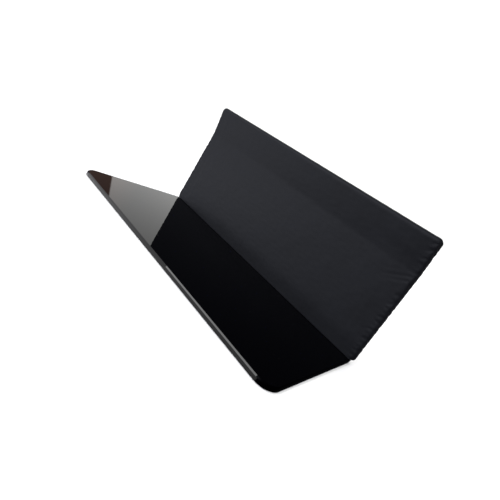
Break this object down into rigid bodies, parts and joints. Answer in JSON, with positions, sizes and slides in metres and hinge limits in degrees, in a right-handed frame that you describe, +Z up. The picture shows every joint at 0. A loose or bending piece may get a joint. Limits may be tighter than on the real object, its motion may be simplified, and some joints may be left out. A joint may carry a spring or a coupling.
{
  "type": "kick plate",
  "caption": "L-shaped black kick plate: a flat gloss floor leg with rounded corners, and a padded satin upright leg whose top edge leans forward.",
  "frame": {"origin": "middle of the footprint on the underside of the floor leg", "axes": "+X along the fold, +Y out of the back where the tape sits, +Z up the padded leg"},
  "size_m": [0.408, 0.188, 0.1821],
  "materials": {
    "gloss_black_sheet": "mirror-smooth gloss black",
    "satin_black_cover": "satin black leathercloth",
    "foam": "matt closed-cell foam",
    "mounting_tape": "matt double-sided foam tape"
  },
  "bodies": {
    "root": {"plate": "gloss_black_sheet", "foam": "foam", "cover": "satin_black_cover", "tape_lower": "mounting_tape", "tape_middle": "mounting_tape", "tape_upper": "mounting_tape"}
  },
  "joints": []
}
